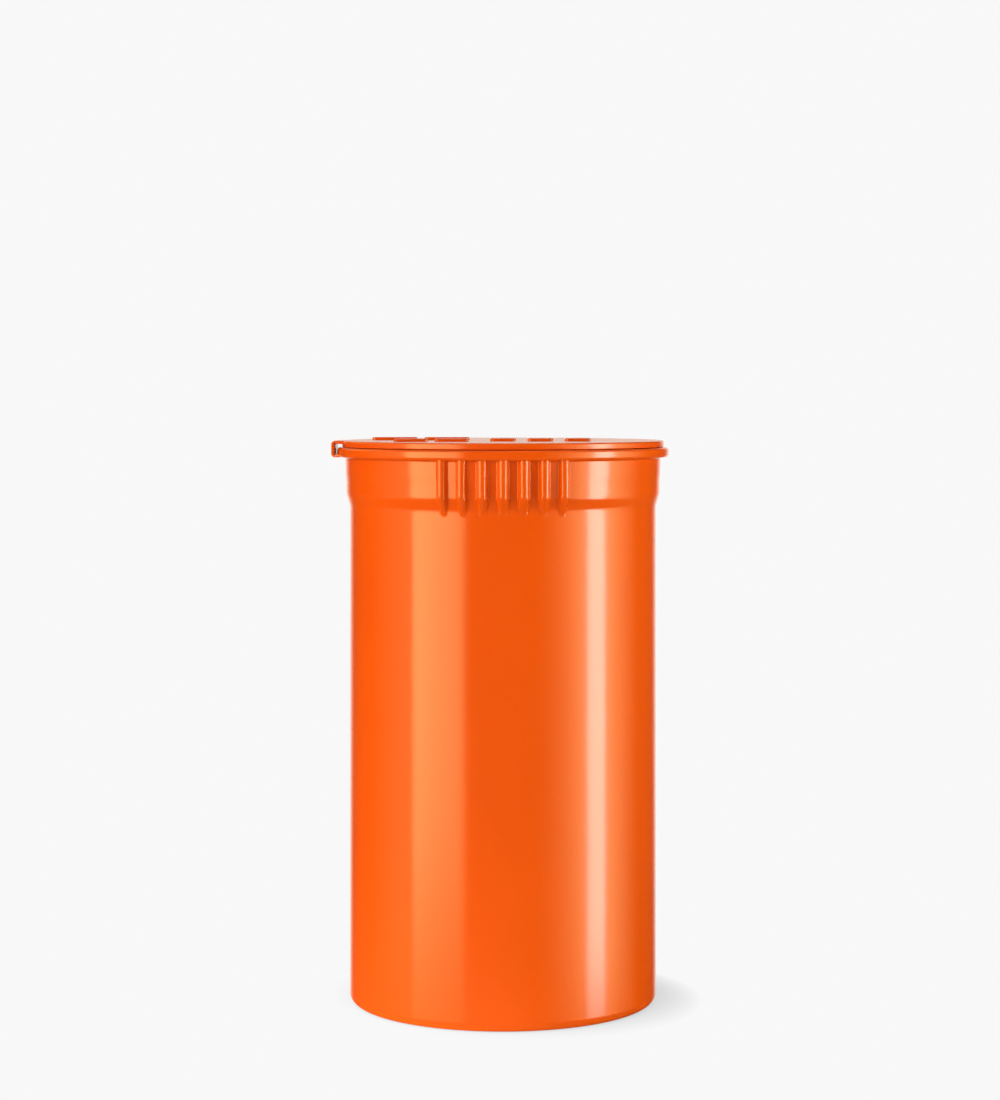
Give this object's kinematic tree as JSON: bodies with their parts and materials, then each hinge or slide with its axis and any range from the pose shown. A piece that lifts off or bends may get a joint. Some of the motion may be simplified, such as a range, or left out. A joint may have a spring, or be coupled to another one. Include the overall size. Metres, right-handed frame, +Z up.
{
  "type": "prescription vial",
  "caption": "Round moulded pharmacy vial with a ribbed squeeze collar, a flanged mouth and a plug lid that opens on a film hinge.",
  "frame": {"origin": "centre of the standing ring at the base, within half a millimetre of the middle of the whole box", "axes": "+Z up along the body, -X towards the hinge, -Y and +Y through the two groups of grip ribs"},
  "size_m": [0.0428, 0.0422, 0.0715],
  "materials": {
    "body_plastic": "opaque orange polypropylene, moulded, glossy",
    "hinge_plastic": "opaque orange polypropylene, thin flexed film, glossy",
    "lid_plastic": "opaque orange polypropylene, moulded, glossy"
  },
  "bodies": {
    "vial": {"vial_floor": "body_plastic", "vial_wall": "body_plastic", "shoulder_collar": "body_plastic", "mouth_snap_bead": "body_plastic", "rim_flange": "body_plastic", "grip_rib_front_1": "body_plastic", "grip_rib_front_2": "body_plastic", "grip_rib_front_3": "body_plastic", "grip_rib_front_4": "body_plastic", "grip_rib_front_5": "body_plastic", "grip_rib_front_6": "body_plastic", "grip_rib_front_7": "body_plastic", "grip_rib_rear_1": "body_plastic", "grip_rib_rear_2": "body_plastic", "grip_rib_rear_3": "body_plastic", "grip_rib_rear_4": "body_plastic", "grip_rib_rear_5": "body_plastic", "grip_rib_rear_6": "body_plastic", "grip_rib_rear_7": "body_plastic", "hinge_tab_rim": "body_plastic", "film_hinge_lower": "hinge_plastic"},
    "hinge_strap": {"hinge_strap": "hinge_plastic"},
    "lid": {"film_hinge_upper": "hinge_plastic", "hinge_tab_lid": "lid_plastic", "lid_disc": "lid_plastic", "lid_plug_skirt": "lid_plastic", "plug_seal_bead": "lid_plastic", "lid_pad_mark_1": "lid_plastic", "lid_pad_mark_2": "lid_plastic", "lid_pad_mark_3": "lid_plastic", "lid_bar_mark_1": "lid_plastic", "lid_bar_mark_2": "lid_plastic", "lid_bar_mark_3": "lid_plastic", "lid_bar_mark_4": "lid_plastic"}
  },
  "joints": [
    {"name": "lower_film_hinge", "type": "hinge", "parent": "vial", "child": "hinge_strap", "pos_m": [-0.02152, 0, 0.06931], "axis": [0, -1, 0], "range_deg": [0, 90], "deforming": ["film_hinge_lower"]},
    {"name": "upper_film_hinge", "type": "hinge", "parent": "hinge_strap", "child": "lid", "pos_m": [-0.02152, 0, 0.07099], "axis": [0, -1, 0], "range_deg": [0, 90], "deforming": ["film_hinge_upper"]}
  ]
}
